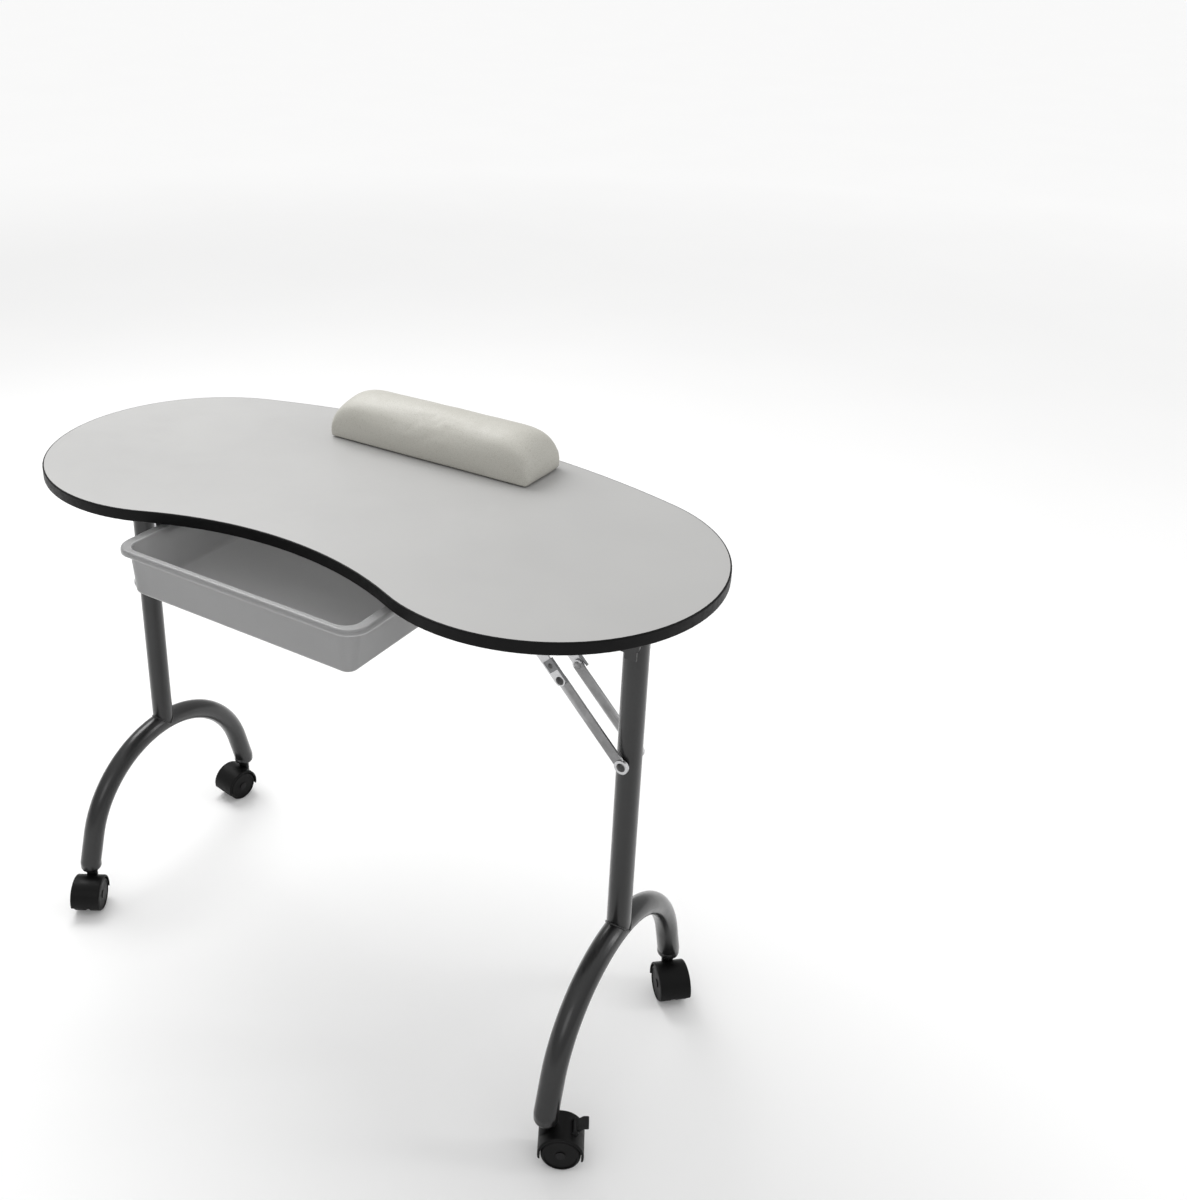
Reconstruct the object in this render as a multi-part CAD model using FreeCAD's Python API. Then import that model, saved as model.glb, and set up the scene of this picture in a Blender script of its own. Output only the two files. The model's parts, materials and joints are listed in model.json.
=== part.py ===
import FreeCAD, Part
import math
import os
from FreeCAD import Vector as V

# Folding manicure table on casters, in millimetres.
# +Z is up, X runs along the table, the technician sits on the -Y side.
# The origin is on the floor, below the middle of the whole table with its drawer partly out.

# ---- driving dimensions -------------------------------------------------------------------
LENGTH = 900.0              # tabletop, end to end
TOP_Z = 660.0               # height of the work surface
BOARD = 14.0                # whole thickness of the board
LAMINATE = 0.8              # decorative sheet on each face
BAND = 2.0                  # edge banding

LOBE_R = 196.0              # rounded ends of the kidney outline
BACK_R = 1006.0             # long back edge
BAY_R = 422.0               # concave front edge
DRAWER_REACH = 228.0        # from the line through the lobe centres to the drawer's front edge

LEG_X = 371.0               # leg post, from the middle of the table
LEG_OFFSET_Y = -8.0         # leg plane, from the line through the lobe centres
TUBE_R = 14.0
TUBE_WALL = 1.5
ARCH_R = 147.5              # bend radius of the arch foot, on the tube's centre line
ARCH_SWEEP = 74.4           # degrees each side of the crown, then straight
ARCH_TOP_Z = 212.0
TUBE_END_Z = 53.0
END_ROUND = 5.0             # outer rounding of the closed tube ends

HINGE_Z = 594.0             # fold axis of both legs
FOLDED_Z = {"right": 562.0, "left": 531.0}   # height of each leg's plane when folded flat
STEEL = 2.5                 # all flat brackets and links
PLAY = 0.3                  # between faces that slide or stop on each other
RUNNING = 0.07              # radial clearance of a pin in its hole

BRACE_POST_Z = 444.0        # brace bolt through the post
BRACE_BOARD_Z = 626.0       # upper pivot, under the board
BRACE_SLOPE = 46.3          # degrees above the horizontal when locked
LOWER_LINK = 113.0          # pivot to pivot
LINK_HALF = 6.5             # half the link's width

WHEEL_R = 22.5
TRAIL = 18.0                # caster stem to axle
CASTER_HEADING = {          # direction in which each caster trails, degrees from +X
    "front_right": 28.0, "back_right": -47.0, "front_left": -58.0, "back_left": -99.0}
BRAKED = "front_right"      # the only caster with a brake pedal

TRAY_TOP_Z = 636.0
TRAY_DEPTH = 57.0
TRAY_HALF_X = 173.0         # outer edge of the rim
TRAY_LENGTH = 252.0         # rim, front to back
TRAY_CORNER = 20.0          # round corner of the tray's body at its top
RIM_SIDE = 11.0             # width of the rolled rim along the sides
RIM_FRONT = 6.0             # and along the front and back
DRAWER_CLOSE = 80.0         # travel from here to closed

PAD_LENGTH = 308.0
PAD_WIDTH = 84.0
PAD_HEIGHT = 60.0
PAD_MIDDLE = 166.0          # from the line through the lobe centres

# ---- places worked out from them ----------------------------------------------------------
LOBE_X = LENGTH / 2 - LOBE_R
BACK_CENTRE = -math.sqrt((BACK_R - LOBE_R) ** 2 - LOBE_X ** 2)
BAY_CENTRE = -math.sqrt((BAY_R + LOBE_R) ** 2 - LOBE_X ** 2)
LOBE_Y = (DRAWER_REACH - BACK_CENTRE - BACK_R) / 2
LEG_Y = LOBE_Y + LEG_OFFSET_Y
BOARD_Z = TOP_Z - BOARD                     # underside of the board
PLATE_Z = BOARD_Z - STEEL                   # underside of a bracket's base plate
SWEEP = math.radians(ARCH_SWEEP)
FOOT_R = TUBE_R - END_ROUND                 # flat at the closed end of the tube
FOOT_Z = TUBE_END_Z + 11                    # where the sloping run meets the upright end
BEND_END_Y = ARCH_R * math.sin(SWEEP)
BEND_END_Z = ARCH_TOP_Z - ARCH_R * (1 - math.cos(SWEEP))
FOOT_Y = BEND_END_Y + (BEND_END_Z - FOOT_Z) / math.tan(SWEEP)

SLOPE = math.radians(BRACE_SLOPE)
BRACE_POST = (LEG_X, BRACE_POST_Z)
BRACE_BOARD = (LEG_X - (BRACE_BOARD_Z - BRACE_POST_Z) / math.tan(SLOPE), BRACE_BOARD_Z)
KNUCKLE = (LEG_X - LOWER_LINK * math.cos(SLOPE), BRACE_POST_Z + LOWER_LINK * math.sin(SLOPE))

# Layers beside the leg plane, each as distances from that plane.
CHEEK = (TUBE_R, TUBE_R + STEEL)
LOWER = (16.8, 16.8 + STEEL)
EAR = (16.9, 16.9 + STEEL)
UPPER = (19.7, 19.7 + STEEL)

os.makedirs("parts", exist_ok=True)


def save(name, *solids):
    shape = solids[0] if len(solids) == 1 else Part.makeCompound(list(solids))
    shape.exportStep("parts/" + name + ".step")


def mirror_x(shape):
    return shape.mirror(V(0, 0, 0), V(1, 0, 0))


def mirror_leg_plane(shape):
    return shape.mirror(V(0, LEG_Y, 0), V(0, 1, 0))


def box(x, y, z):
    """A block between two corners, each axis given as (low, high)."""
    return Part.makeBox(x[1] - x[0], y[1] - y[0], z[1] - z[0], V(x[0], y[0], z[0]))


def rod_y(x, z, radius, y):
    return Part.makeCylinder(radius, y[1] - y[0], V(x, y[0], z), V(0, 1, 0))


def rod_z(x, y, radius, z):
    return Part.makeCylinder(radius, z[1] - z[0], V(x, y, z[0]))


def beside(layer):
    """A layer beside the leg plane, on its front side, as (low, high) along Y."""
    return (LEG_Y - layer[1], LEG_Y - layer[0])


def prism_y(points, y):
    """A polygon in the XZ plane, extruded between two Y values."""
    ring = [V(px, y[0], pz) for px, pz in points]
    face = Part.Face(Part.makePolygon(ring + ring[:1]))
    return face.extrude(V(0, y[1] - y[0], 0))


def bar(start, end, half, y):
    """A flat bar with round ends, lying in the XZ plane."""
    dx, dz = end[0] - start[0], end[1] - start[1]
    length = math.hypot(dx, dz)
    ux, uz = dx / length, dz / length

    def place(along, across):
        return V(start[0] + ux * along - uz * across, y[0], start[1] + uz * along + ux * across)

    edges = [
        Part.makeLine(place(0, half), place(length, half)),
        Part.Arc(place(length, half), place(length + half, 0), place(length, -half)).toShape(),
        Part.makeLine(place(length, -half), place(0, -half)),
        Part.Arc(place(0, -half), place(-half, 0), place(0, half)).toShape()]
    return Part.Face(Part.Wire(edges)).extrude(V(0, y[1] - y[0], 0))


def rounded_wire(x, y, radius, z):
    """A rectangle with round corners at one height."""
    (x0, x1), (y0, y1) = x, y
    diagonal = radius * (1 - math.sqrt(0.5))
    edges = []
    corners = [(x1, y1, -1, -1), (x0, y1, 1, -1), (x0, y0, 1, 1), (x1, y0, -1, 1)]
    for number, (cx, cy, sx, sy) in enumerate(corners):
        first = V(cx, cy + sy * radius, z)
        last = V(cx + sx * radius, cy, z)
        if number % 2:
            first, last = last, first
        middle = V(cx + sx * diagonal, cy + sy * diagonal, z)
        if edges:
            edges.append(Part.makeLine(edges[-1].Vertexes[-1].Point, first))
        edges.append(Part.Arc(first, middle, last).toShape())
    edges.append(Part.makeLine(last, edges[0].Vertexes[0].Point))
    return Part.Wire(edges)


def rounded_block(x, y, z, radius):
    return Part.Face(rounded_wire(x, y, radius, z[0])).extrude(V(0, 0, z[1] - z[0]))


# ---- tabletop -----------------------------------------------------------------------------
def kidney(inset, z):
    """The board's outline: two lobes, a long back arc and a concave bay for the technician."""
    lobe, back, bay = LOBE_R - inset, BACK_R - inset, BAY_R + inset

    def towards_lobe(centre_y, radius, side):
        span = math.hypot(LOBE_X, centre_y)
        return V(side * LOBE_X / span * radius, LOBE_Y + centre_y - centre_y / span * radius, z)

    back_right, back_left = (towards_lobe(BACK_CENTRE, back, side) for side in (1, -1))
    bay_right, bay_left = (towards_lobe(BAY_CENTRE, bay, side) for side in (1, -1))
    back_middle = V(0, LOBE_Y + BACK_CENTRE + back, z)
    bay_middle = V(0, LOBE_Y + BAY_CENTRE + bay, z)
    tip = LOBE_X + lobe
    arcs = [
        Part.Arc(back_right, back_middle, back_left),
        Part.Arc(back_left, V(-tip, LOBE_Y, z), bay_left),
        Part.Arc(bay_left, bay_middle, bay_right),
        Part.Arc(bay_right, V(tip, LOBE_Y, z), back_right)]
    return Part.Face(Part.Wire([arc.toShape() for arc in arcs]))


def kidney_slab(inset, z):
    return kidney(inset, z[0]).extrude(V(0, 0, z[1] - z[0]))


SCREW_R = 2.0
SCREW_HEAD_R = 4.0
SCREW_LENGTH = 10.0


def wood_screw(x, y):
    shank = rod_z(x, y, SCREW_R, (PLATE_Z, PLATE_Z + SCREW_LENGTH))
    head = rod_z(x, y, SCREW_HEAD_R, (PLATE_Z - 2.4, PLATE_Z))
    head = head.makeFillet(1.4, [e for e in head.Edges if e.BoundBox.ZMax < PLATE_Z - 1])
    return head.fuse(shank).removeSplitter()


def hinge_x(side):
    """Distance of a leg's fold axis from the middle, which sets the height of the folded leg."""
    return LEG_X - (HINGE_Z - FOLDED_Z[side])


def bracket_screw_places(side):
    inner, outer = hinge_x(side) - 11, LEG_X + 10
    return [(x, LEG_Y + y) for x in (inner, outer) for y in (-25, 25)]


BRACE_FLANGE = (LOWER[0], LOWER[0] + 24.0)   # base of a brace bracket, from the leg plane


def brace_screw_places():
    return [(BRACE_BOARD[0] + dx, LEG_Y - BRACE_FLANGE[1] + 7) for dx in (-7, 7)]


RAIL_WEB = (TRAY_HALF_X + 1.2, TRAY_HALF_X + 1.2 + STEEL)
RAIL_TOP = (RAIL_WEB[0] - 13, RAIL_WEB[1])
RAIL_BACK_Y = LOBE_Y - DRAWER_REACH + DRAWER_CLOSE + TRAY_LENGTH + PLAY + 0.2
RAIL_Y = (RAIL_BACK_Y - 264, RAIL_BACK_Y + STEEL)
RIM_DROP = 6.5                               # height of the tray's rolled rim


def rail_screw_places():
    middle = (RAIL_Y[0] + RAIL_Y[1]) / 2
    return [(RAIL_TOP[0] + 6, middle + dy) for dy in (-110, 0, 110)]


def all_screw_places():
    places = []
    for sign, side in ((1, "right"), (-1, "left")):
        places += [(sign * x, y) for x, y in bracket_screw_places(side)]
        places += [(sign * x, y) for x, y in rail_screw_places()]
        for x, y in brace_screw_places():
            places += [(sign * x, y), (sign * x, 2 * LEG_Y - y)]
    return places


def drill(shape, places):
    holes = [rod_z(x, y, SCREW_R, (PLATE_Z - 5, PLATE_Z + SCREW_LENGTH)) for x, y in places]
    return shape.cut(holes)


def tabletop():
    core = kidney_slab(BAND, (BOARD_Z + LAMINATE, TOP_Z - LAMINATE))
    upper = kidney_slab(BAND, (TOP_Z - LAMINATE, TOP_Z))
    lower = kidney_slab(BAND, (BOARD_Z, BOARD_Z + LAMINATE))
    band = kidney_slab(0, (BOARD_Z, TOP_Z))
    rims = [e for e in band.Edges if e.BoundBox.ZLength < 0.1]
    band = band.makeFillet(1.6, rims).cut(kidney_slab(BAND, (BOARD_Z - 1, TOP_Z + 1)))
    save("top_core", drill(core, all_screw_places()))
    save("laminate_faces", upper, drill(lower, all_screw_places()))
    save("edge_band", band)
    save("wood_screws", *[wood_screw(x, y) for x, y in all_screw_places()])


def hinge_bracket(side):
    axis_x = hinge_x(side)
    base = rounded_block((axis_x - 20, LEG_X + 18), (LEG_Y - 33, LEG_Y + 33), (PLATE_Z, BOARD_Z), 4)
    y = beside(EAR)
    taper = [(axis_x - 17, PLATE_Z), (axis_x + 17, PLATE_Z), (axis_x + 11, HINGE_Z),
             (axis_x - 11, HINGE_Z)]
    ear = prism_y(taper, y).fuse(rod_y(axis_x, HINGE_Z, 11, y)).removeSplitter()
    ear = ear.cut(rod_y(axis_x, HINGE_Z, 4, y))
    shape = base.fuse([ear, mirror_leg_plane(ear)]).removeSplitter()
    return drill(shape, bracket_screw_places(side))


def hexagon(x, z, across, y):
    points = [(x + across / 2 * math.cos(math.radians(60 * k)) / math.cos(math.radians(30)),
               z + across / 2 * math.sin(math.radians(60 * k)) / math.cos(math.radians(30)))
              for k in range(6)]
    return prism_y(points, y)


def dome(x, z, radius, height, layer_face):
    """A rivet head on the front side, standing out from a layer's outer face."""
    ball_r = (radius ** 2 + height ** 2) / (2 * height)
    face_y = LEG_Y - layer_face
    ball = Part.makeSphere(ball_r, V(x, face_y - height + ball_r, z))
    return ball.common(rod_y(x, z, radius + 1, (face_y - height, face_y)))


def hinge_bolt(side):
    x, reach = hinge_x(side), EAR[1]
    shaft = rod_y(x, HINGE_Z, 4, (LEG_Y - reach, LEG_Y + reach))
    head = hexagon(x, HINGE_Z, 13, (LEG_Y - reach - 5, LEG_Y - reach))
    nut = hexagon(x, HINGE_Z, 13, (LEG_Y + reach, LEG_Y + reach + 6))
    end = rod_y(x, HINGE_Z, 4, (LEG_Y + reach + 6, LEG_Y + reach + 8))
    return shaft.fuse([head, nut, end]).removeSplitter()


def anchor_rivet():
    x, z = BRACE_BOARD
    shaft = rod_y(x, z, 3, beside((LOWER[0], UPPER[1])))
    tail = dome(x, z, 5, 1.4, 0)
    tail = mirror_leg_plane(tail)
    tail.translate(V(0, -LOWER[0], 0))
    return shaft.fuse([dome(x, z, 5.5, 1.8, UPPER[1]), tail]).removeSplitter()


def brace_bracket():
    x, z = BRACE_BOARD
    flange = box((x - 13, x + 13), beside(BRACE_FLANGE), (PLATE_Z, BOARD_Z))
    y = beside(LOWER)
    ear = prism_y([(x - 13, PLATE_Z), (x + 13, PLATE_Z), (x + 8, z), (x - 8, z)], y)
    ear = ear.fuse(rod_y(x, z, 8, y)).cut(rod_y(x, z, 3, y))
    return drill(flange.fuse(ear).removeSplitter(), brace_screw_places())


def board_hardware():
    brackets, pins = [], []
    for side, flip in (("right", lambda s: s), ("left", mirror_x)):
        save(side + "_hinge_bracket", flip(hinge_bracket(side)))
        pins.append(flip(hinge_bolt(side)))
        for turn in (lambda s: s, mirror_leg_plane):
            brackets.append(flip(turn(brace_bracket())))
            pins.append(flip(turn(anchor_rivet())))
    save("brace_brackets", *brackets)
    save("pivot_pins", *pins)


# ---- drawer -------------------------------------------------------------------------------
def drawer_rail():
    """A channel that holds the side of the tray's rim, open towards the tray."""
    lip_z = TRAY_TOP_Z - RIM_DROP - PLAY
    top = box(RAIL_TOP, RAIL_Y, (PLATE_Z, BOARD_Z))
    web = box(RAIL_WEB, RAIL_Y, (lip_z - STEEL, BOARD_Z))
    lip = box((RAIL_WEB[0] - 10, RAIL_WEB[1]), RAIL_Y, (lip_z - STEEL, lip_z))
    stop = box((RAIL_WEB[0] - 10, RAIL_WEB[1]), (RAIL_Y[1] - STEEL, RAIL_Y[1]),
               (lip_z - STEEL, BOARD_Z))
    return drill(top.fuse([web, lip, stop]).removeSplitter(), rail_screw_places())


def tray_block(inset, z_low, z_high):
    """A block inside the rim, with round corners that tighten as it tapers to its bottom."""
    taper = 5.0
    front = LOBE_Y - DRAWER_REACH
    reach_x = TRAY_HALF_X - RIM_SIDE - inset
    margin = RIM_FRONT + inset
    y = (front + margin, front + TRAY_LENGTH - margin)
    top = rounded_wire((-reach_x, reach_x), y, TRAY_CORNER - inset, z_high)
    low_x = (taper - reach_x, reach_x - taper)
    bottom = rounded_wire(low_x, (y[0] + taper, y[1] - taper), TRAY_CORNER - 8 - inset, z_low)
    return Part.makeLoft([bottom, top], True, True)


def rounded_low_edges(shape, z, radius):
    return shape.makeFillet(radius, [e for e in shape.Edges if e.BoundBox.ZMax < z + 0.1])


def drawer_tray():
    wall, lip = 2.4, 3.4
    front, back = LOBE_Y - DRAWER_REACH, LOBE_Y - DRAWER_REACH + TRAY_LENGTH
    floor_z = TRAY_TOP_Z - TRAY_DEPTH
    body = rounded_low_edges(tray_block(0, floor_z, TRAY_TOP_Z), floor_z, 5)
    rim = rounded_block((-TRAY_HALF_X, TRAY_HALF_X), (front, back),
                        (TRAY_TOP_Z - RIM_DROP, TRAY_TOP_Z), 25)
    rim = rim.makeFillet(3.2, [e for e in rim.Edges if e.BoundBox.ZMin > TRAY_TOP_Z - 0.1])
    under = rounded_block((lip - TRAY_HALF_X, TRAY_HALF_X - lip), (front + lip, back - lip),
                          (TRAY_TOP_Z - RIM_DROP - 1, TRAY_TOP_Z - wall), 25 - lip)
    hollow = tray_block(wall, floor_z + wall, TRAY_TOP_Z + 0.01)
    hollow = rounded_low_edges(hollow, floor_z + wall, 4)
    tray = rim.cut(under).fuse(body).cut(hollow).removeSplitter()
    mouth_x = TRAY_HALF_X - RIM_SIDE
    mouth = [e for e in tray.Edges if e.BoundBox.ZMin > TRAY_TOP_Z - 0.1
             and abs(e.BoundBox.Center.x) < mouth_x and e.BoundBox.YMin > front + RIM_FRONT
             and e.BoundBox.YMax < back - RIM_FRONT]
    return tray.makeFillet(1.6, mouth)


# ---- wrist cushion ------------------------------------------------------------------------
PAD_CLEAR = 1.0             # the rubber dots hold the cushion off the board


def pad_block(inset, z_low, z_high, top_round):
    middle = LOBE_Y + PAD_MIDDLE
    half_x, half_y = PAD_LENGTH / 2 - inset, PAD_WIDTH / 2 - inset
    block = rounded_block((-half_x, half_x), (middle - half_y, middle + half_y),
                          (z_low, z_high), 30 - inset)
    tops = [e for e in block.Edges if e.BoundBox.ZMin > z_high - 0.1]
    return block.makeFillet(top_round, tops)


def cushion():
    skin, board = 1.2, 6.0
    low = TOP_Z + PAD_CLEAR
    high = TOP_Z + PAD_HEIGHT
    inner = pad_block(skin, low, high - skin, 21 - skin)
    cover = pad_block(0, low, high, 21).cut(inner)
    middle = LOBE_Y + PAD_MIDDLE
    slab = box((-PAD_LENGTH, PAD_LENGTH), (middle - PAD_WIDTH, middle + PAD_WIDTH),
               (low, low + board))
    dots = [rod_z(x, middle + y, 8, (TOP_Z, low)) for x in (-115, 115) for y in (-22, 22)]
    save("cushion_cover", cover)
    save("cushion_base", inner.common(slab))
    save("cushion_foam", inner.cut(slab))
    save("cushion_grip_dots", *dots)


# ---- legs (built on the +X side) ----------------------------------------------------------
def arch_solid(radius):
    """The arch foot as a solid rod along its centre line, with short upright ends."""
    centre_z = ARCH_TOP_Z - ARCH_R
    start = V(LEG_X, LEG_Y - ARCH_R * math.sin(SWEEP), centre_z + ARCH_R * math.cos(SWEEP))
    tangent = V(0, math.cos(SWEEP), math.sin(SWEEP))
    circle = Part.Face(Part.Wire(Part.makeCircle(radius, start, tangent)))
    bend = circle.revolve(V(LEG_X, LEG_Y, centre_z), V(-1, 0, 0), 2 * ARCH_SWEEP)
    inset = TUBE_R - radius
    low_z = TUBE_END_Z + inset
    pieces = []
    for sign in (-1, 1):
        foot = V(LEG_X, LEG_Y + sign * FOOT_Y, FOOT_Z)
        bend_end = V(LEG_X, LEG_Y + sign * BEND_END_Y, BEND_END_Z)
        run = bend_end - foot
        pieces.append(Part.makeCylinder(radius, run.Length, foot, run))
        end = rod_z(LEG_X, foot.y, radius, (low_z, FOOT_Z))
        end = end.makeFillet(END_ROUND - inset,
                             [e for e in end.Edges if e.BoundBox.ZMax < low_z + 0.1])
        elbow = Part.makeSphere(radius, foot)
        pieces.append(elbow.cut(box((0, 2 * LEG_X), (-300, 300), (0, FOOT_Z - 2))))
        pieces.append(end)
    return bend.fuse(pieces).removeSplitter()


SOCKET_R = 6.0
STEM_R = 4.0
SOCKET_TOP_Z = TUBE_END_Z + 26
STEM_LOW_Z = 42.1           # lowest end of a caster's stem, above its wheel wells


def arch_foot():
    shape = arch_solid(TUBE_R).cut(arch_solid(TUBE_R - TUBE_WALL))
    return shape.cut([rod_z(LEG_X, LEG_Y + sign * FOOT_Y, SOCKET_R,
                            (TUBE_END_Z - 1, TUBE_END_Z + 5)) for sign in (-1, 1)])


CAP_Z = PLATE_Z - PLAY      # top of the post's cap, just under the bracket's plate


def post():
    tube = rod_z(LEG_X, LEG_Y, TUBE_R, (ARCH_TOP_Z, CAP_Z - 3))
    tube = tube.cut(arch_solid(TUBE_R))
    tube = max(tube.Solids, key=lambda solid: solid.Volume)
    bore = rod_z(LEG_X, LEG_Y, TUBE_R - TUBE_WALL, (ARCH_TOP_Z, CAP_Z))
    across = LOWER[0] + STEEL
    bolt_hole = rod_y(LEG_X, BRACE_POST_Z, 3, (LEG_Y - across, LEG_Y + across))
    return tube.cut([bore, bolt_hole])


def hinge_arm(side):
    """Two cheek plates on the post, joined by the sleeve that turns on the hinge bolt."""
    x = hinge_x(side)
    half = 11.0
    y = beside(CHEEK)
    plate = bar((x, HINGE_Z), (LEG_X, HINGE_Z), half, y)
    outer_part = box((LEG_X - 6, LEG_X + 8), y, (HINGE_Z - half - 7, HINGE_Z + half + 7))
    plate = plate.fuse(outer_part).removeSplitter()
    sleeve = rod_y(x, HINGE_Z, 7.5, (LEG_Y - TUBE_R, LEG_Y + TUBE_R))
    shape = plate.fuse([mirror_leg_plane(plate), sleeve]).removeSplitter()
    return shape.cut(rod_y(x, HINGE_Z, 4 + RUNNING, (LEG_Y - 20, LEG_Y + 20)))


def tube_plugs():
    plugs = []
    for sign in (-1, 1):
        y = LEG_Y + sign * FOOT_Y
        socket = rod_z(LEG_X, y, SOCKET_R - 0.05, (TUBE_END_Z, SOCKET_TOP_Z))
        flange = rod_z(LEG_X, y, FOOT_R - 0.2, (TUBE_END_Z - 2, TUBE_END_Z))
        bore = rod_z(LEG_X, y, STEM_R + RUNNING, (TUBE_END_Z - 3, SOCKET_TOP_Z - 1.5))
        plugs.append(flange.fuse(socket).removeSplitter().cut(bore))
    cap = rod_z(LEG_X, LEG_Y, TUBE_R, (CAP_Z - 3, CAP_Z))
    cap = cap.makeFillet(1.2, [e for e in cap.Edges if e.BoundBox.ZMin > CAP_Z - 0.1])
    neck = rod_z(LEG_X, LEG_Y, TUBE_R - TUBE_WALL, (CAP_Z - 15, CAP_Z - 3))
    plugs.append(cap.fuse(neck).removeSplitter())
    return plugs


def brace_bolt():
    """Through bolt with a spacer at each side of the post and a round head over each washer."""
    x, z = BRACE_POST
    shape = rod_y(x, z, 3, (LEG_Y - LOWER[1], LEG_Y + LOWER[1]))
    spacer = rod_y(x, z, 6, beside((TUBE_R, LOWER[0] - 0.1)))
    washer_face = LOWER[1] + WASHER + 0.1
    head = dome(x, z, 5.2, 3, washer_face)
    collar = rod_y(x, z, 3, beside((LOWER[1], washer_face)))
    return shape.fuse([spacer, head, collar, mirror_leg_plane(spacer), mirror_leg_plane(head),
                       mirror_leg_plane(collar)]).removeSplitter()


# ---- folding braces (built in front of the +X leg) ----------------------------------------
def along_brace(distance, across):
    """A point measured from the knuckle towards the board, and outboard from the link."""
    return (KNUCKLE[0] - distance * math.cos(SLOPE) + across * math.sin(SLOPE),
            KNUCKLE[1] + distance * math.sin(SLOPE) + across * math.cos(SLOPE))


WASHER = 1.2                # raised ring round the lower link's bolt hole
CLIP_RIVET = 19.0           # from the knuckle towards the board


def upper_link():
    y = beside(UPPER)
    link = bar(BRACE_BOARD, KNUCKLE, LINK_HALF, y)
    link = link.cut(rod_y(*BRACE_BOARD, 3 + RUNNING, y))
    holes = [rod_y(*KNUCKLE, 3, y), rod_y(*along_brace(CLIP_RIVET, 2), 2, y)]
    return link.cut(holes)


def lower_link():
    y = beside(LOWER)
    ring_y = beside((LOWER[0], LOWER[1] + WASHER))
    link = bar(KNUCKLE, BRACE_POST, LINK_HALF, y).fuse(rod_y(*BRACE_POST, 8.2, ring_y))
    link = link.cut(rod_y(*BRACE_POST, 3 + RUNNING, ring_y))
    tail = mirror_leg_plane(dome(*KNUCKLE, 4.5, 1.3, 0))
    tail.translate(V(0, -LOWER[0], 0))
    return link.fuse(tail).removeSplitter()


def knuckle_rivets():
    clip_place = along_brace(CLIP_RIVET, 2)
    clip_face = UPPER[1] + 1.0
    knuckle = rod_y(*KNUCKLE, 3, beside(UPPER)).fuse(dome(*KNUCKLE, 5, 2, UPPER[1]))
    clip = rod_y(*clip_place, 2, beside((UPPER[0], clip_face)))
    clip = clip.fuse(dome(*clip_place, 3.2, 1.2, clip_face))
    return [knuckle.removeSplitter(), clip.removeSplitter()]


def lock_clip():
    """Spring clip along the outboard edge of the upper link, which keeps the knuckle straight."""
    gap = LINK_HALF + 1.2
    tab = [along_brace(26, -4), along_brace(26, gap), along_brace(12, gap), along_brace(12, -4)]
    flange = [along_brace(26, gap), along_brace(26, gap + 1), along_brace(-6, gap + 1),
              along_brace(-6, gap)]
    face = prism_y(tab, beside((UPPER[1], UPPER[1] + 1)))
    edge = prism_y(flange, beside((UPPER[0], UPPER[1] + 1)))
    clip = face.fuse(edge).removeSplitter()
    return clip.cut(rod_y(*along_brace(CLIP_RIVET, 2), 2, beside((UPPER[0], UPPER[1] + 2))))


def legs_and_braces():
    for side, flip in (("right", lambda s: s), ("left", mirror_x)):
        save(side + "_arch", flip(arch_foot()))
        save(side + "_post", flip(post()))
        save(side + "_hinge_arm", flip(hinge_arm(side)))
        save(side + "_tube_plugs", *[flip(plug) for plug in tube_plugs()])
        save(side + "_brace_bolt", flip(brace_bolt()))
        for where, turn in (("front", lambda s: s), ("back", mirror_leg_plane)):
            name = side + "_" + where + "_"
            save(name + "upper_link", flip(turn(upper_link())))
            save(name + "lower_link", flip(turn(lower_link())))
            save(name + "rivets", *[flip(turn(rivet)) for rivet in knuckle_rivets()])
            save(name + "lock_clip", flip(turn(lock_clip())))


# ---- casters (built with the stem on the Z axis, trailing towards +X) ---------------------
FENDER = (WHEEL_R + 1.0, WHEEL_R + 3.5)
HOOD_HALF = 20.0
WEB_HALF = 3.0
WHEEL_Y = (3.4, 19.3)
AXLE_R = 3.0
PEDAL_ANGLE = math.radians(58)
PEDAL_PIVOT = (TRAIL + (FENDER[1] + 3.6) * math.cos(PEDAL_ANGLE),
               WHEEL_R + (FENDER[1] + 3.6) * math.sin(PEDAL_ANGLE))
LUG_Y = (7.7, 10.0)


def caster_hood(braked):
    everywhere = (-HOOD_HALF, HOOD_HALF)
    shell = rod_y(TRAIL, WHEEL_R, FENDER[1], everywhere)
    rims = [e for e in shell.Edges if e.BoundBox.YLength < 0.1]
    shell = shell.makeFillet(2, rims)
    shell = shell.cut(box((-60, 80), (-30, 30), (-20, WHEEL_R - 5)))
    shape = shell.fuse(rod_z(0, 0, 7.4, (26, TUBE_END_Z - 2 - PLAY)))
    for side in (-1, 1):
        y = sorted((side * WEB_HALF, side * (HOOD_HALF + 1)))
        shape = shape.cut(rod_y(TRAIL, WHEEL_R, FENDER[0], y))
    hub = rod_y(TRAIL, WHEEL_R, 8, (-WEB_HALF, WEB_HALF))
    holes = [rod_z(0, 0, STEM_R, (STEM_LOW_Z, 70)), rod_y(TRAIL, WHEEL_R, AXLE_R, (-20, 20))]
    lugs = []
    for side in (-1, 1) if braked else ():
        y = sorted((side * LUG_Y[0], side * LUG_Y[1]))
        root = (TRAIL + (FENDER[0] + 1.6) * math.cos(PEDAL_ANGLE),
                WHEEL_R + (FENDER[0] + 1.6) * math.sin(PEDAL_ANGLE))
        lug = bar(root, PEDAL_PIVOT, 3.2, y)
        lugs.append(lug.cut(rod_y(TRAIL, WHEEL_R, FENDER[0] + 0.5, y)))
        holes.append(rod_y(*PEDAL_PIVOT, 1.5 + 0.05, y))
    return shape.fuse([hub] + lugs).removeSplitter().cut(holes)


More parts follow.
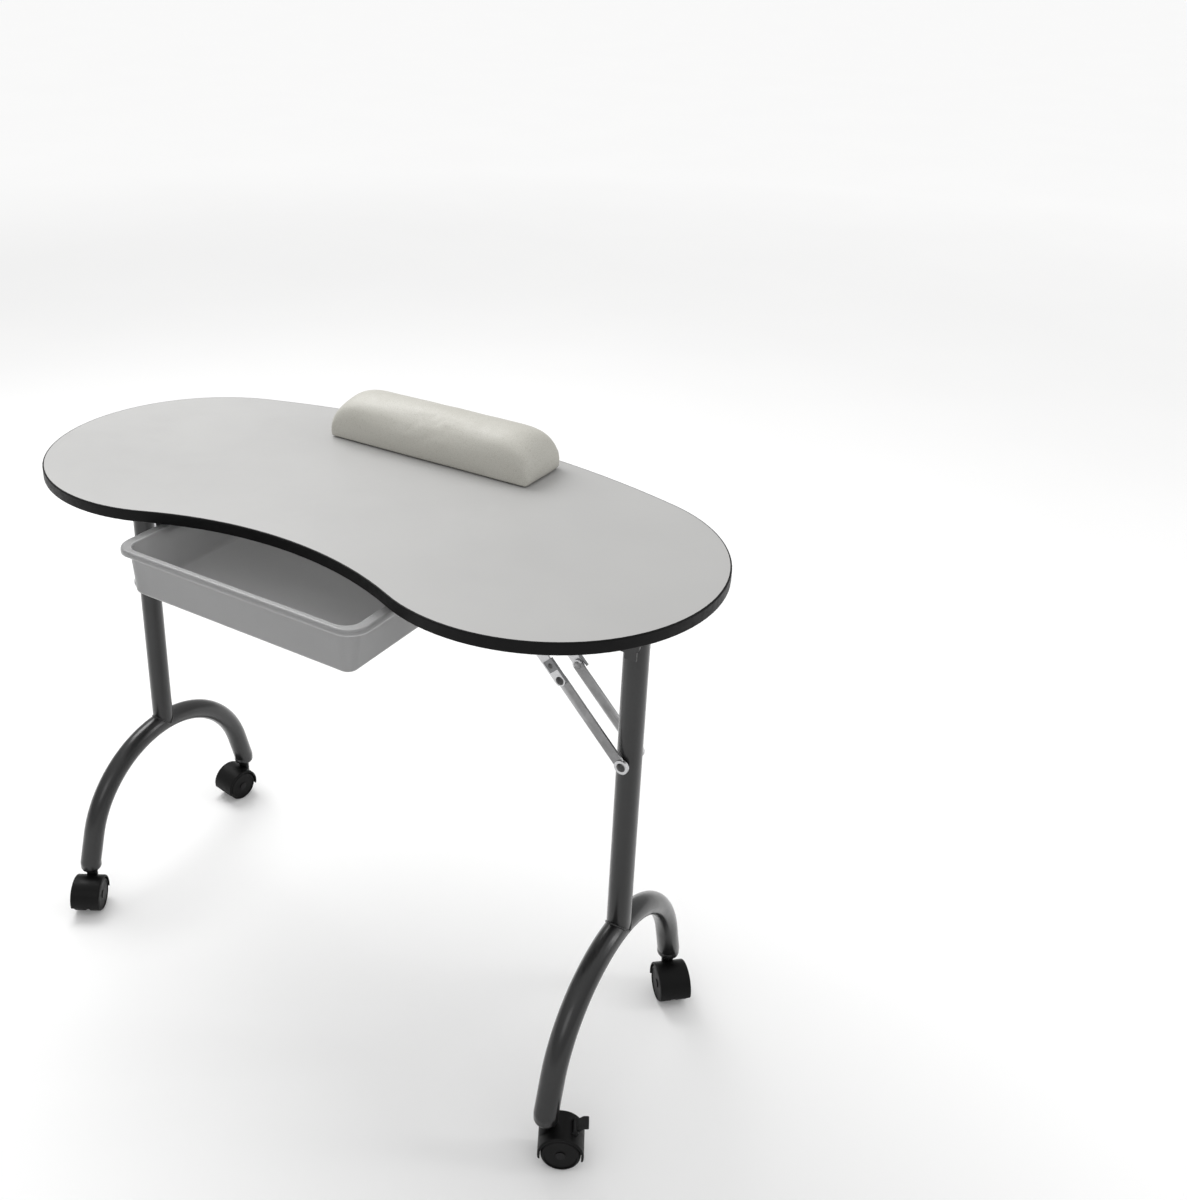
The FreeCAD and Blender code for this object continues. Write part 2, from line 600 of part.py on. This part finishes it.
def caster_pins():
    stem = rod_z(0, 0, STEM_R, (STEM_LOW_Z, SOCKET_TOP_Z - 3))
    axle = rod_y(TRAIL, WHEEL_R, AXLE_R, (-18, 18))
    return [stem, axle]


def wheel(side):
    y = sorted((side * WHEEL_Y[0], side * WHEEL_Y[1]))
    disc = rod_y(TRAIL, WHEEL_R, WHEEL_R, y)
    outer = [e for e in disc.Edges if abs(abs(e.BoundBox.YMin) - WHEEL_Y[1]) < 0.1
             and e.BoundBox.YLength < 0.1]
    inner = [e for e in disc.Edges if abs(abs(e.BoundBox.YMin) - WHEEL_Y[0]) < 0.1
             and e.BoundBox.YLength < 0.1]
    disc = disc.makeFillet(3.5, outer).makeFillet(1, inner)
    groove_y = sorted((side * (WHEEL_Y[1] - 0.9), side * (WHEEL_Y[1] + 1)))
    groove = rod_y(TRAIL, WHEEL_R, 19, groove_y).cut(rod_y(TRAIL, WHEEL_R, 5.5, groove_y))
    bore = rod_y(TRAIL, WHEEL_R, AXLE_R + RUNNING, sorted((0, side * 18.3)))
    return disc.cut([groove, bore])


def brake_pedal():
    x, z = PEDAL_PIVOT
    half_y = LUG_Y[0] - PLAY
    barrel = rod_y(x, z, 2.9, (-half_y, half_y))
    trunnions = rod_y(x, z, 1.5, (-LUG_Y[1], LUG_Y[1]))
    tilt = math.radians(38)
    tip = (x + 11 * math.cos(tilt), z + 11 * math.sin(tilt))
    tab = bar((x, z), tip, 1.6, (-half_y, half_y))
    toe = (tip[0] + 4, tip[1] + 0.5)
    lip = bar(tip, toe, 1.6, (-half_y, half_y))
    return barrel.fuse([trunnions, tab, lip]).removeSplitter()


def casters():
    for name, heading in CASTER_HEADING.items():
        x = LEG_X if name.endswith("right") else -LEG_X
        y = LEG_Y + (FOOT_Y if name.startswith("back") else -FOOT_Y)

        def placed(shape):
            shape = shape.copy()
            shape.rotate(V(0, 0, 0), V(0, 0, 1), heading)
            shape.translate(V(x, y, 0))
            return shape

        braked = name == BRAKED
        save(name + "_caster_hood", placed(caster_hood(braked)))
        save(name + "_caster_pins", *[placed(pin) for pin in caster_pins()])
        save(name + "_wheel_a", placed(wheel(1)))
        save(name + "_wheel_b", placed(wheel(-1)))
        if braked:
            save(name + "_brake_pedal", placed(brake_pedal()))


tabletop()
board_hardware()
save("drawer_rails", drawer_rail(), mirror_x(drawer_rail()))
save("drawer_tray", drawer_tray())
cushion()
legs_and_braces()
casters()
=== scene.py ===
import json
import math

import bmesh
import bpy
import numpy as np
from mathutils import Matrix, Vector, noise


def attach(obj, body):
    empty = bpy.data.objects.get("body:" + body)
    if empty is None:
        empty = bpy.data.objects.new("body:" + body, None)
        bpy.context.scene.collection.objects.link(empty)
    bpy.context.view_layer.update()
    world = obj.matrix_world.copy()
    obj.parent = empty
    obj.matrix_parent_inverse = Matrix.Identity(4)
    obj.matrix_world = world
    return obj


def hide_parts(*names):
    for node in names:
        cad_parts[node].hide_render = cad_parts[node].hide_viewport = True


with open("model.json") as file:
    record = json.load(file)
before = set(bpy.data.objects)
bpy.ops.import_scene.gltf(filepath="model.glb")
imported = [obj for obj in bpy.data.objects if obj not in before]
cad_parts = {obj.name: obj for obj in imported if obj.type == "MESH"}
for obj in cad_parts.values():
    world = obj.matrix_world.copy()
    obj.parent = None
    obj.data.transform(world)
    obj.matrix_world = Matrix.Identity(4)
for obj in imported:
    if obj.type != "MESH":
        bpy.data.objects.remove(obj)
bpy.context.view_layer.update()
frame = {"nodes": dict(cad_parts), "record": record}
NODES = frame["nodes"]
MM = 0.001

# Places that repeat the CAD, in millimetres.
TOP_Z = 660.0
LOBE_Y = -4.4275
LEG_Y = -12.4275
LEG_X = 371.0
TUBE_R = 14.0
ARCH_R = 147.5
ARCH_TOP_Z = 212.0
TRAY_HEART = (0.0, -0.1064, 0.632)      # in metres, just below the middle of the tray's mouth


# ---- materials ----------------------------------------------------------------------------
NOISE_RANGE = (0.3, 0.7)        # where most of Blender's noise lies
EDGE_RANGE = (0.51, 0.56)       # pointiness, from nearly flat to a sharp edge
INSIDE_PAINTED_LIGHT_FADE = 0.008             # how softly the painted light on the tray's inside faces begins, in metres


class Paint:
    """A material with one Principled shader, and short names for the nodes that feed it."""

    def __init__(self, name, **sockets):
        self.material = bpy.data.materials.new(name)
        self.material.use_nodes = True
        self.tree = self.material.node_tree
        self.tree.nodes.clear()
        self.out = self.add("ShaderNodeOutputMaterial")
        self.bsdf = self.add("ShaderNodeBsdfPrincipled")
        self.link(self.bsdf.outputs["BSDF"], self.out.inputs["Surface"])
        for key, value in sockets.items():
            self.bsdf.inputs[key.replace("_", " ")].default_value = value
        self.place = self.add("ShaderNodeTexCoord").outputs["Object"]

    def add(self, kind, **props):
        node = self.tree.nodes.new(kind)
        for key, value in props.items():
            setattr(node, key, value)
        return node

    def link(self, a, b):
        self.tree.links.new(a, b)

    def stretched(self, scale):
        node = self.add("ShaderNodeMapping")
        node.inputs["Scale"].default_value = scale
        self.link(self.place, node.inputs["Vector"])
        return node.outputs["Vector"]

    def noise(self, scale, detail=3.0, rough=0.5, warp=0.0, at=None):
        node = self.add("ShaderNodeTexNoise")
        self.link(at or self.place, node.inputs["Vector"])
        node.inputs["Scale"].default_value = scale
        node.inputs["Detail"].default_value = detail
        node.inputs["Roughness"].default_value = rough
        node.inputs["Distortion"].default_value = warp
        return node.outputs["Fac"]

    def cells(self, scale, feature="F1", output="Distance"):
        node = self.add("ShaderNodeTexVoronoi", feature=feature)
        self.link(self.place, node.inputs["Vector"])
        node.inputs["Scale"].default_value = scale
        return node.outputs[output]

    def span(self, value, low, high, to_low=0.0, to_high=1.0):
        node = self.add("ShaderNodeMapRange")
        self.link(value, node.inputs["Value"])
        for key, number in (("From Min", low), ("From Max", high),
                            ("To Min", to_low), ("To Max", to_high)):
            node.inputs[key].default_value = number
        return node.outputs["Result"]

    def maths(self, operation, a, b):
        node = self.add("ShaderNodeMath", operation=operation)
        for socket, value in zip(node.inputs, (a, b)):
            if isinstance(value, (int, float)):
                socket.default_value = value
            else:
                self.link(value, socket)
        return node.outputs["Value"]

    def between(self, factor, a, b):
        """A colour from a to b; each is a colour or another node's output."""
        node = self.add("ShaderNodeMix", data_type="RGBA")
        self.link(factor, node.inputs["Factor"])
        ends = [s for s in node.inputs if s.type == "RGBA"]
        for socket, value in zip(ends, (a, b)):
            if isinstance(value, tuple):
                socket.default_value = (*value, 1.0)
            else:
                self.link(value, socket)
        return [s for s in node.outputs if s.type == "RGBA"][0]

    def patches(self, scale, detail=3.0, to=(0.0, 1.0), **kind):
        """Noise, with the part of its range where it mostly lies spread over to."""
        return self.span(self.noise(scale, detail, **kind), *NOISE_RANGE, *to)

    # lighter sharp edges: wear on the black parts, a painted highlight on the zinc
    def worn_and_highlit_edges(self):
        geometry = self.add("ShaderNodeNewGeometry")
        return self.span(geometry.outputs["Pointiness"], *EDGE_RANGE)

    def bump(self, height, depth, strength):
        """Relief of at most depth, in metres."""
        node = self.add("ShaderNodeBump")
        node.inputs["Strength"].default_value = strength
        node.inputs["Distance"].default_value = depth
        self.link(height, node.inputs["Height"])
        return node.outputs["Normal"]

    def finish(self, color, rough, normal):
        self.link(color, self.bsdf.inputs["Base Color"])
        self.link(rough, self.bsdf.inputs["Roughness"])
        self.link(normal, self.bsdf.inputs["Normal"])
        return self.material


def laminate():
    p = Paint("laminate", Specular_IOR_Level=0.42)
    cloud = p.span(p.noise(5.0, 2.0), 0.35, 0.65)
    speck = p.span(p.noise(1400.0, 2.0), 0.40, 0.72)
    base = p.between(cloud, (0.430, 0.428, 0.421), (0.408, 0.406, 0.400))
    color = p.between(p.maths("MULTIPLY", speck, 0.16), base, (0.38, 0.38, 0.37))
    rough = p.patches(38.0, 4.0, (0.36, 0.47))
    pearl = p.bump(p.noise(820.0, 2.0), 0.00010, 0.35)
    return p.finish(color, rough, pearl)


def edge_banding():
    p = Paint("edge_banding", Specular_IOR_Level=0.12)
    cloud = p.noise(60.0, 3.0)
    scuff = p.span(p.noise(9.0, 6.0, 0.7, at=p.stretched((1, 1, 9))), 0.60, 0.74)
    base = p.between(cloud, (0.0025, 0.0025, 0.0026), (0.0045, 0.0045, 0.0047))
    color = p.between(p.maths("MULTIPLY", scuff, 0.25), base, (0.018, 0.018, 0.018))
    rough = p.patches(140.0, 4.0, (0.34, 0.50))
    lines = p.bump(p.noise(60.0, 3.0, at=p.stretched((1, 1, 30))), 0.00008, 0.4)
    return p.finish(color, rough, lines)


def painted_tube():
    p = Paint("painted_tube", Metallic=0.80, Coat_Weight=0.60, Coat_Roughness=0.20)
    flake = p.span(p.cells(2600.0), 0.1, 0.7)
    cloud = p.patches(11.0, 3.0)
    base = p.between(cloud, (0.013, 0.013, 0.0132), (0.020, 0.020, 0.0203))
    color = p.between(p.maths("MULTIPLY", flake, 0.30), base, (0.060, 0.060, 0.0612))
    rough = p.patches(60.0, 3.0, (0.30, 0.38))
    peel = p.bump(p.noise(240.0, 1.0), 0.00012, 0.25)
    return p.finish(color, rough, peel)


def zinc_steel():
    p = Paint("zinc_steel", Metallic=1.0)
    spangle = p.span(p.cells(210.0, output="Color"), 0.0, 1.0)
    cloud = p.patches(34.0, 4.0)
    base = p.between(spangle, (0.25, 0.25, 0.254), (0.31, 0.31, 0.314))
    dull = p.between(p.maths("MULTIPLY", cloud, 0.45), base, (0.19, 0.187, 0.183))
    # painted highlight: the zinc's sharp edges are painted lighter
    color = p.between(p.worn_and_highlit_edges(), dull, (0.60, 0.60, 0.61))
    rough = p.patches(90.0, 4.0, (0.34, 0.50))
    drawn = p.noise(130.0, 3.0, at=p.stretched((1, 12, 1)))
    return p.finish(color, rough, p.bump(drawn, 0.00006, 0.35))


def tray_plastic():
    """Moulded grey plastic, with painted light: the faces that look into the tray are painted a
    little lighter, against the shade that falls inside it.
    """
    p = Paint("tray_plastic", Specular_IOR_Level=0.45, Subsurface_Weight=0.75,
              Subsurface_Radius=(1.0, 1.0, 1.0), Subsurface_Scale=0.012)
    cloud = p.patches(9.0, 3.0)
    inward = p.add("ShaderNodeVectorMath", operation="SUBTRACT")
    inward.inputs[0].default_value = TRAY_HEART
    p.link(p.place, inward.inputs[1])
    facing = p.add("ShaderNodeVectorMath", operation="DOT_PRODUCT")
    p.link(inward.outputs["Vector"], facing.inputs[0])
    p.link(p.add("ShaderNodeNewGeometry").outputs["Normal"], facing.inputs[1])
    # painted light: faces turned towards the tray's middle get the lighter colour below,
    # standing in for light that the shaded inside lacks
    inside_painted_light = p.span(facing.outputs["Value"], 0.0, INSIDE_PAINTED_LIGHT_FADE)
    shell = p.between(cloud, (0.232, 0.232, 0.233), (0.242, 0.242, 0.243))
    color = p.between(inside_painted_light, shell, (0.33, 0.33, 0.331))
    rough = p.patches(45.0, 2.0, (0.30, 0.35))
    moulded = p.bump(p.noise(900.0, 2.0), 0.00008, 0.3)
    return p.finish(color, rough, moulded)


def cushion_vinyl():
    p = Paint("cushion_vinyl", Specular_IOR_Level=0.4)
    crease_and_painted_shade = p.span(p.cells(520.0, feature="DISTANCE_TO_EDGE"), 0.0, 0.14)
    pebble = p.noise(900.0, 3.0)
    cloud = p.patches(16.0, 3.0)
    base = p.between(cloud, (0.490, 0.480, 0.436), (0.518, 0.509, 0.467))
    # painted shade: the grain's creases are painted darker
    color = p.between(crease_and_painted_shade, (0.42, 0.41, 0.365), base)
    rough = p.patches(70.0, 3.0, (0.42, 0.55))
    grain = p.bump(p.maths("ADD", crease_and_painted_shade, p.maths("MULTIPLY", pebble, 0.5)), 0.00012, 0.40)
    return p.finish(color, rough, grain)


def moulded_black(name, shade, fine):
    """A maker for one of the black plastics; fine is how close its texture is."""
    def make():
        p = Paint(name, Specular_IOR_Level=0.14)
        cloud = p.patches(50.0, 3.0)
        base = p.between(cloud, (shade,) * 3, (shade * 1.5,) * 3)
        color = p.between(p.maths("MULTIPLY", p.worn_and_highlit_edges(), 0.4), base, (0.028, 0.028, 0.029))
        rough = p.patches(120.0, 4.0, (0.36, 0.52))
        return p.finish(color, rough, p.bump(p.noise(fine, 2.0), 0.00010, 0.35))
    return make


def rubber():
    p = Paint("rubber", Specular_IOR_Level=0.3)
    color = p.between(p.patches(80.0), (0.03, 0.03, 0.03), (0.05, 0.05, 0.048))
    rough = p.patches(200.0, to=(0.72, 0.88))
    return p.finish(color, rough, p.bump(p.noise(1200.0), 0.0001, 0.5))


def spring_steel():
    p = Paint("spring_steel", Metallic=1.0)
    color = p.between(p.patches(60.0), (0.16, 0.162, 0.166), (0.24, 0.242, 0.248))
    rough = p.patches(150.0, to=(0.28, 0.42))
    return p.finish(color, rough, p.bump(p.noise(400.0), 0.00005, 0.3))


def black_steel():
    p = Paint("black_steel", Metallic=0.85)
    cloud = p.patches(160.0, 4.0)
    base = p.between(cloud, (0.035, 0.035, 0.037), (0.075, 0.074, 0.072))
    color = p.between(p.worn_and_highlit_edges(), base, (0.30, 0.30, 0.305))
    rough = p.patches(220.0, to=(0.30, 0.46))
    return p.finish(color, rough, p.bump(p.noise(500.0), 0.00006, 0.4))


def board_core():
    p = Paint("board_core")
    fibres = p.patches(600.0, 5.0, rough=0.7, at=p.stretched((1, 3, 1)))
    color = p.between(fibres, (0.36, 0.25, 0.15), (0.52, 0.39, 0.25))
    rough = p.patches(90.0, to=(0.75, 0.9))
    return p.finish(color, rough, p.bump(fibres, 0.0002, 0.5))


def plywood():
    p = Paint("plywood")
    grain = p.patches(30.0, 6.0, rough=0.65, warp=0.4, at=p.stretched((1, 14, 14)))
    color = p.between(grain, (0.50, 0.35, 0.20), (0.68, 0.53, 0.34))
    rough = p.patches(90.0, to=(0.65, 0.8))
    return p.finish(color, rough, p.bump(grain, 0.0002, 0.5))


def foam():
    p = Paint("foam")
    holes_and_painted_shade = p.span(p.cells(900.0), 0.1, 0.6)
    # painted shade: the foam's pores are painted darker
    color = p.between(holes_and_painted_shade, (0.62, 0.55, 0.36), (0.78, 0.72, 0.52))
    rough = p.patches(90.0, to=(0.85, 0.95))
    return p.finish(color, rough, p.bump(holes_and_painted_shade, 0.0005, 0.6))


PAINTS = {
    "laminate": laminate,
    "board_core": board_core,
    "edge_banding": edge_banding,
    "zinc_steel": zinc_steel,
    "tray_plastic": tray_plastic,
    "cushion_vinyl": cushion_vinyl,
    "foam": foam,
    "plywood": plywood,
    "rubber": rubber,
    "painted_tube": painted_tube,
    "black_plastic": moulded_black("black_plastic", 0.0035, 1300.0),
    "spring_steel": spring_steel,
    "black_steel": black_steel,
    "caster_nylon": moulded_black("caster_nylon", 0.0030, 1100.0),
    "brake_plastic": moulded_black("brake_plastic", 0.0040, 1500.0),
}
MATERIALS = {slot: make() for slot, make in PAINTS.items()}


def wear(piece, slot):
    """Gives a piece the material of one of the record's slots."""
    piece.data.materials.clear()
    piece.data.materials.append(MATERIALS[slot])
    return piece


for subpart in frame["record"]["subparts"]:
    node = NODES[subpart["node"]]
    for place in node.material_slots:
        place.material = MATERIALS[subpart["material_slot"]]


# ---- mesh helpers -------------------------------------------------------------------------
def shade_smooth(mesh):
    for polygon in mesh.polygons:
        polygon.use_smooth = True


def piece_from(name, points, faces):
    """A smooth mesh object from points in millimetres."""
    mesh = bpy.data.meshes.new(name)
    mesh.from_pydata([tuple(c * MM for c in p) for p in points], [], faces)
    mesh.validate()
    cleaner = bmesh.new()
    cleaner.from_mesh(mesh)
    bmesh.ops.recalc_face_normals(cleaner, faces=cleaner.faces)
    cleaner.to_mesh(mesh)
    cleaner.free()
    shade_smooth(mesh)
    piece = bpy.data.objects.new(name, mesh)
    bpy.context.scene.collection.objects.link(piece)
    return piece


def read_points(mesh):
    flat = np.zeros(len(mesh.vertices) * 3)
    mesh.vertices.foreach_get("co", flat)
    return flat.reshape(-1, 3)


def write_points(mesh, points):
    mesh.vertices.foreach_set("co", np.asarray(points, float).ravel())
    mesh.update()


def apply_modifiers(piece):
    """Bakes the modifiers into the mesh."""
    graph = bpy.context.evaluated_depsgraph_get()
    graph.update()
    made = bpy.data.meshes.new_from_object(piece.evaluated_get(graph), depsgraph=graph)
    piece.modifiers.clear()
    old, piece.data = piece.data, made
    bpy.data.meshes.remove(old)
    shade_smooth(piece.data)


# ---- wrist cushion ------------------------------------------------------------------------
PAD_Y = LOBE_Y + 166.0
PAD_HALF = (152.5, 40.5)        # a little inside the CAD pad, because it swells
PAD_BOTTOM = TOP_Z + 1.2
PAD_RISE = 56.6
PAD_END = 50.0                  # length over which each end rounds down
PAD_END_POWER = 2.7             # how square the ends' rounding is
PAD_SIDE_POWER = 7.5            # and that of the ridges along the sides
PAD_CROWN = 0.22                # how far the top falls from its middle to its sides
PAD_VOXEL = 0.0045              # in metres, as are the next two
PAD_SWELL = 0.0035              # the most that stuffing moves a point
PINNED = 0.0015                 # points this near the pad's bottom stay in place
PAD_PRESSURE = 4.0
CLOTH_FRAMES = 20


def rounded(part, power):
    """A fall from 1 at the middle to 0 at the edge, steeper there for a larger power."""
    return max(0.0, 1 - min(part, 1.0) ** power) ** (1 / power)


def pad_height(x, y):
    """Height of the pad above its bottom: upright sides, a ridge and a sloping crowned top."""
    along = max(0.0, abs(x) - (PAD_HALF[0] - PAD_END)) / PAD_END
    across = abs(y) / PAD_HALF[1]
    end = rounded(along, PAD_END_POWER)
    side = rounded(across, PAD_SIDE_POWER)
    crown = 1 - PAD_CROWN * across ** 2
    return PAD_RISE * end * side * crown


def grid_lines(half, count, even):
    """Lines from -half to half, closer near the edges; even is how little they crowd there."""
    steps = (2 * i / count - 1 for i in range(count + 1))
    return [half * (even * s + (1 - even) * math.sin(s * math.pi / 2)) for s in steps]


def pad_shape():
    """The unstuffed pad: its top as a grid of heights, and a flat bottom."""
    columns, rows = 132, 60
    xs = grid_lines(PAD_HALF[0], columns, 0.25)
    ys = grid_lines(PAD_HALF[1], rows, 0.2)
    points, top, low = [], {}, {}
    for i, x in enumerate(xs):
        for j, y in enumerate(ys):
            border = i in (0, columns) or j in (0, rows)
            top[i, j] = len(points)
            rise = 0.0 if border else pad_height(x, y)
            points.append((x, PAD_Y + y, PAD_BOTTOM + rise))
            if border:
                low[i, j] = top[i, j]
            else:
                low[i, j] = len(points)
                points.append((x, PAD_Y + y, PAD_BOTTOM))
    faces = []
    for i in range(columns):
        for j in range(rows):
            ring = [(i, j), (i + 1, j), (i + 1, j + 1), (i, j + 1)]
            faces.append([top[k] for k in ring])
            faces.append([low[k] for k in reversed(ring)])
    return piece_from("wrist_cushion", points, faces)


def inflate(piece, floor_z):
    """Stuffs a closed mesh with Blender's cloth, and limits how far any point moves."""
    remesh = piece.modifiers.new("remesh", "REMESH")
    remesh.mode = "VOXEL"
    remesh.voxel_size = PAD_VOXEL
    remesh.use_smooth_shade = True
    apply_modifiers(piece)
    relax = piece.modifiers.new("relax", "SMOOTH")
    relax.factor, relax.iterations = 0.5, 3
    apply_modifiers(piece)
    rest = read_points(piece.data)
    pins = piece.vertex_groups.new(name="pins")
    held = [i for i, p in enumerate(rest) if p[2] < floor_z + PINNED]
    pins.add(held, 1.0, "REPLACE")
    cloth = piece.modifiers.new("cloth", "CLOTH").settings
    cloth.quality = 6
    cloth.mass = 0.25
    cloth.tension_stiffness = cloth.compression_stiffness = 30
    cloth.shear_stiffness = 15
    cloth.bending_stiffness = 1.5
    cloth.use_pressure = True
    cloth.uniform_pressure_force = PAD_PRESSURE
    cloth.vertex_group_mass = "pins"
    cloth.effector_weights.gravity = 0
    for number in range(1, CLOTH_FRAMES + 1):
        bpy.context.scene.frame_set(number)
    graph = bpy.context.evaluated_depsgraph_get()
    swollen = read_points(piece.evaluated_get(graph).data)
    piece.modifiers.clear()
    bpy.context.scene.frame_set(1)
    piece.vertex_groups.clear()
    move = swollen - rest
    length = np.linalg.norm(move, axis=1, keepdims=True)
    limited = PAD_SWELL * np.tanh(length / PAD_SWELL)
    write_points(piece.data, rest + move / np.maximum(length, 1e-9) * limited)


def make_cushion():
    pad = pad_shape()
    floor_z = PAD_BOTTOM * MM
    inflate(pad, floor_z)
    points = read_points(pad.data)
    for point in points:
        # stretched vinyl is slightly uneven, most of all where it is pulled round the ends
        ends = min(1.0, max(0.0, (abs(point[0]) - 0.10) / 0.05))
        ripple = noise.noise(Vector(point) * 42.0) * (0.00035 + 0.0005 * ends)
        outward = Vector((0.3 * point[0], point[1] - PAD_Y * MM, point[2] - TOP_Z * MM))
        point += np.array(outward.normalized()) * ripple
        point[2] = max(point[2], floor_z)
    write_points(pad.data, points)
    finer = pad.modifiers.new("finer", "SUBSURF")
    finer.levels = finer.render_levels = 1
    apply_modifiers(pad)
    wear(pad, "cushion_vinyl")
    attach(pad, "cushion")
    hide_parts("cushion_cover", "cushion_foam", "cushion_base")


make_cushion()


# ---- weld beads where each post stands on its arch ----------------------------------------
BEAD_R = 1.3
BEAD_LIFT = 0.15                # how far its middle stands off the tubes
BEAD_STEPS = 260
BEAD_SIDES = 10
BEAD_RIPPLES = 40


def saddle_point(side, angle, lift):
    """A point on the line where the post's tube meets the arch's tube, pushed out by lift."""
    radius = TUBE_R + lift
    x, y = radius * math.cos(angle), radius * math.sin(angle)
    centre = ARCH_TOP_Z - (ARCH_R - math.sqrt(ARCH_R ** 2 - y ** 2))
    rise = math.sqrt(max(0.0, radius ** 2 - x ** 2))
    return Vector((side * (LEG_X + x), LEG_Y + y, centre + rise))


def weld_bead(name, body, path):
    """A ripply round bead along a closed path of points."""
    count, around = len(path), BEAD_SIDES
    points, faces = [], []
    for i, here in enumerate(path):
        ahead, behind = path[(i + 1) % count], path[i - 1]
        tangent = (ahead - behind).normalized()
        side = tangent.cross(Vector((0, 0, 1)))
        side = side.normalized() if side.length > 1e-6 else Vector((1, 0, 0))
        up = side.cross(tangent).normalized()
        phase = (i / count * BEAD_RIPPLES) % 1.0
        swell = BEAD_R * (0.86 + 0.20 * math.sin(math.pi * phase)
                          + 0.06 * noise.noise(here * 0.35))
        for k in range(around):
            turn = 2 * math.pi * k / around
            points.append(here + side * math.cos(turn) * swell + up * math.sin(turn) * swell)
    for i in range(count):
        for k in range(around):
            nxt = (i + 1) % count
            faces.append((i * around + k, i * around + (k + 1) % around,
                          nxt * around + (k + 1) % around, nxt * around + k))
    bead = piece_from(name, points, faces)
    wear(bead, "painted_tube")
    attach(bead, body)


for side, label in ((-1, "left"), (1, "right")):
    seam = [saddle_point(side, 2 * math.pi * i / BEAD_STEPS, BEAD_LIFT)
            for i in range(BEAD_STEPS)]
    weld_bead(label + "_arch_weld", label + "_leg", seam)


# ---- floor, light and camera --------------------------------------------------------------
FLOOR_HALF = 90.0               # in metres
GLOW_FROM, GLOW_TO = (0.8, 0.05), (6.0, 0.27)       # distance from the table, and glow there
SKY_LOW, SKY_HIGH = 0.45, 0.92                      # strength at the horizon and overhead


def make_floor():
    """A pale floor that glows a little more the further it is, as a lit backdrop does."""
    half = FLOOR_HALF
    mesh = bpy.data.meshes.new("floor")
    mesh.from_pydata([(-half, -half, 0), (half, -half, 0), (half, half, 0), (-half, half, 0)],
                     [], [(0, 1, 2, 3)])
    floor = bpy.data.objects.new("floor", mesh)
    bpy.context.scene.collection.objects.link(floor)
    p = Paint("studio_floor", Specular_IOR_Level=0.2)
    color = p.between(p.noise(1.5, 2.0), (0.88, 0.88, 0.878), (0.91, 0.91, 0.908))
    rough = p.patches(3.0, to=(0.75, 0.85))
    away = p.add("ShaderNodeVectorMath", operation="LENGTH")
    p.link(p.place, away.inputs[0])
    glow = p.span(away.outputs["Value"], GLOW_FROM[0], GLOW_TO[0], GLOW_FROM[1], GLOW_TO[1])
    p.link(glow, p.bsdf.inputs["Emission Strength"])
    p.bsdf.inputs["Emission Color"].default_value = (1.0, 1.0, 1.0, 1.0)
    mesh.materials.append(p.finish(color, rough, p.bump(p.noise(60.0), 0.0001, 0.1)))


def area_light(name, at, target, size, power):
    light = bpy.data.lights.new(name, "AREA")
    light.shape = "RECTANGLE"
    light.size, light.size_y = size
    light.energy = power
    lamp = bpy.data.objects.new(name, light)
    lamp.location = at
    lamp.rotation_euler = (Vector(target) - Vector(at)).to_track_quat("-Z", "Y").to_euler()
    bpy.context.scene.collection.objects.link(lamp)


def make_light():
    area_light("overhead", (-1.25, 0.55, 2.3), (0, 0, 0.6), (1.5, 1.2), 33)
    area_light("front_fill", (0.6, -2.4, 1.7), (0, -0.1, 0.6), (1.4, 1.0), 6)
    area_light("side_rim", (2.5, 1.3, 1.6), (0, 0, 0.5), (0.35, 1.8), 11)
    world = bpy.data.worlds.new("studio")
    world.use_nodes = True
    tree = world.node_tree
    sky = tree.nodes["Background"]
    sky.inputs["Color"].default_value = (1.0, 1.0, 1.0, 1.0)
    toward = tree.nodes.new("ShaderNodeTexCoord")
    height = tree.nodes.new("ShaderNodeSeparateXYZ")
    fade = tree.nodes.new("ShaderNodeMapRange")
    for key, value in (("From Min", 0.0), ("From Max", 1.0),
                       ("To Min", SKY_LOW), ("To Max", SKY_HIGH)):
        fade.inputs[key].default_value = value
    tree.links.new(toward.outputs["Generated"], height.inputs["Vector"])
    tree.links.new(height.outputs["Z"], fade.inputs["Value"])
    tree.links.new(fade.outputs["Result"], sky.inputs["Strength"])
    bpy.context.scene.world = world
    bpy.context.scene.view_settings.view_transform = "Standard"


PHOTO = (1187, 1200)            # its size in pixels, as are the focal length and the centre
EYE = (0.876329, -1.080781, 1.272284)
YAW, PITCH, ROLL = 0.5803, 0.3955, 0.0128
FOCAL, CENTRE_X, CENTRE_Y = 1288.33, 482.96, 468.13


def make_camera():
    ahead = Vector((-math.sin(YAW) * math.cos(PITCH), math.cos(YAW) * math.cos(PITCH),
                    -math.sin(PITCH)))
    right = Vector((math.cos(YAW), math.sin(YAW), 0.0))
    up = right.cross(ahead)
    c, s = math.cos(ROLL), math.sin(ROLL)
    right, up = c * right + s * up, -s * right + c * up
    data = bpy.data.cameras.new("camera")
    data.sensor_fit = "VERTICAL"
    data.sensor_height = 36.0
    data.lens = FOCAL / PHOTO[1] * data.sensor_height
    data.shift_x = (PHOTO[0] / 2 - CENTRE_X) / PHOTO[1]
    data.shift_y = (CENTRE_Y - PHOTO[1] / 2) / PHOTO[1]
    data.clip_end = 300.0
    camera = bpy.data.objects.new("camera", data)
    turn = Matrix((right, up, -ahead)).transposed().to_4x4()
    camera.matrix_world = Matrix.Translation(EYE) @ turn
    bpy.context.scene.collection.objects.link(camera)
    bpy.context.scene.camera = camera


make_floor()
make_light()
make_camera()
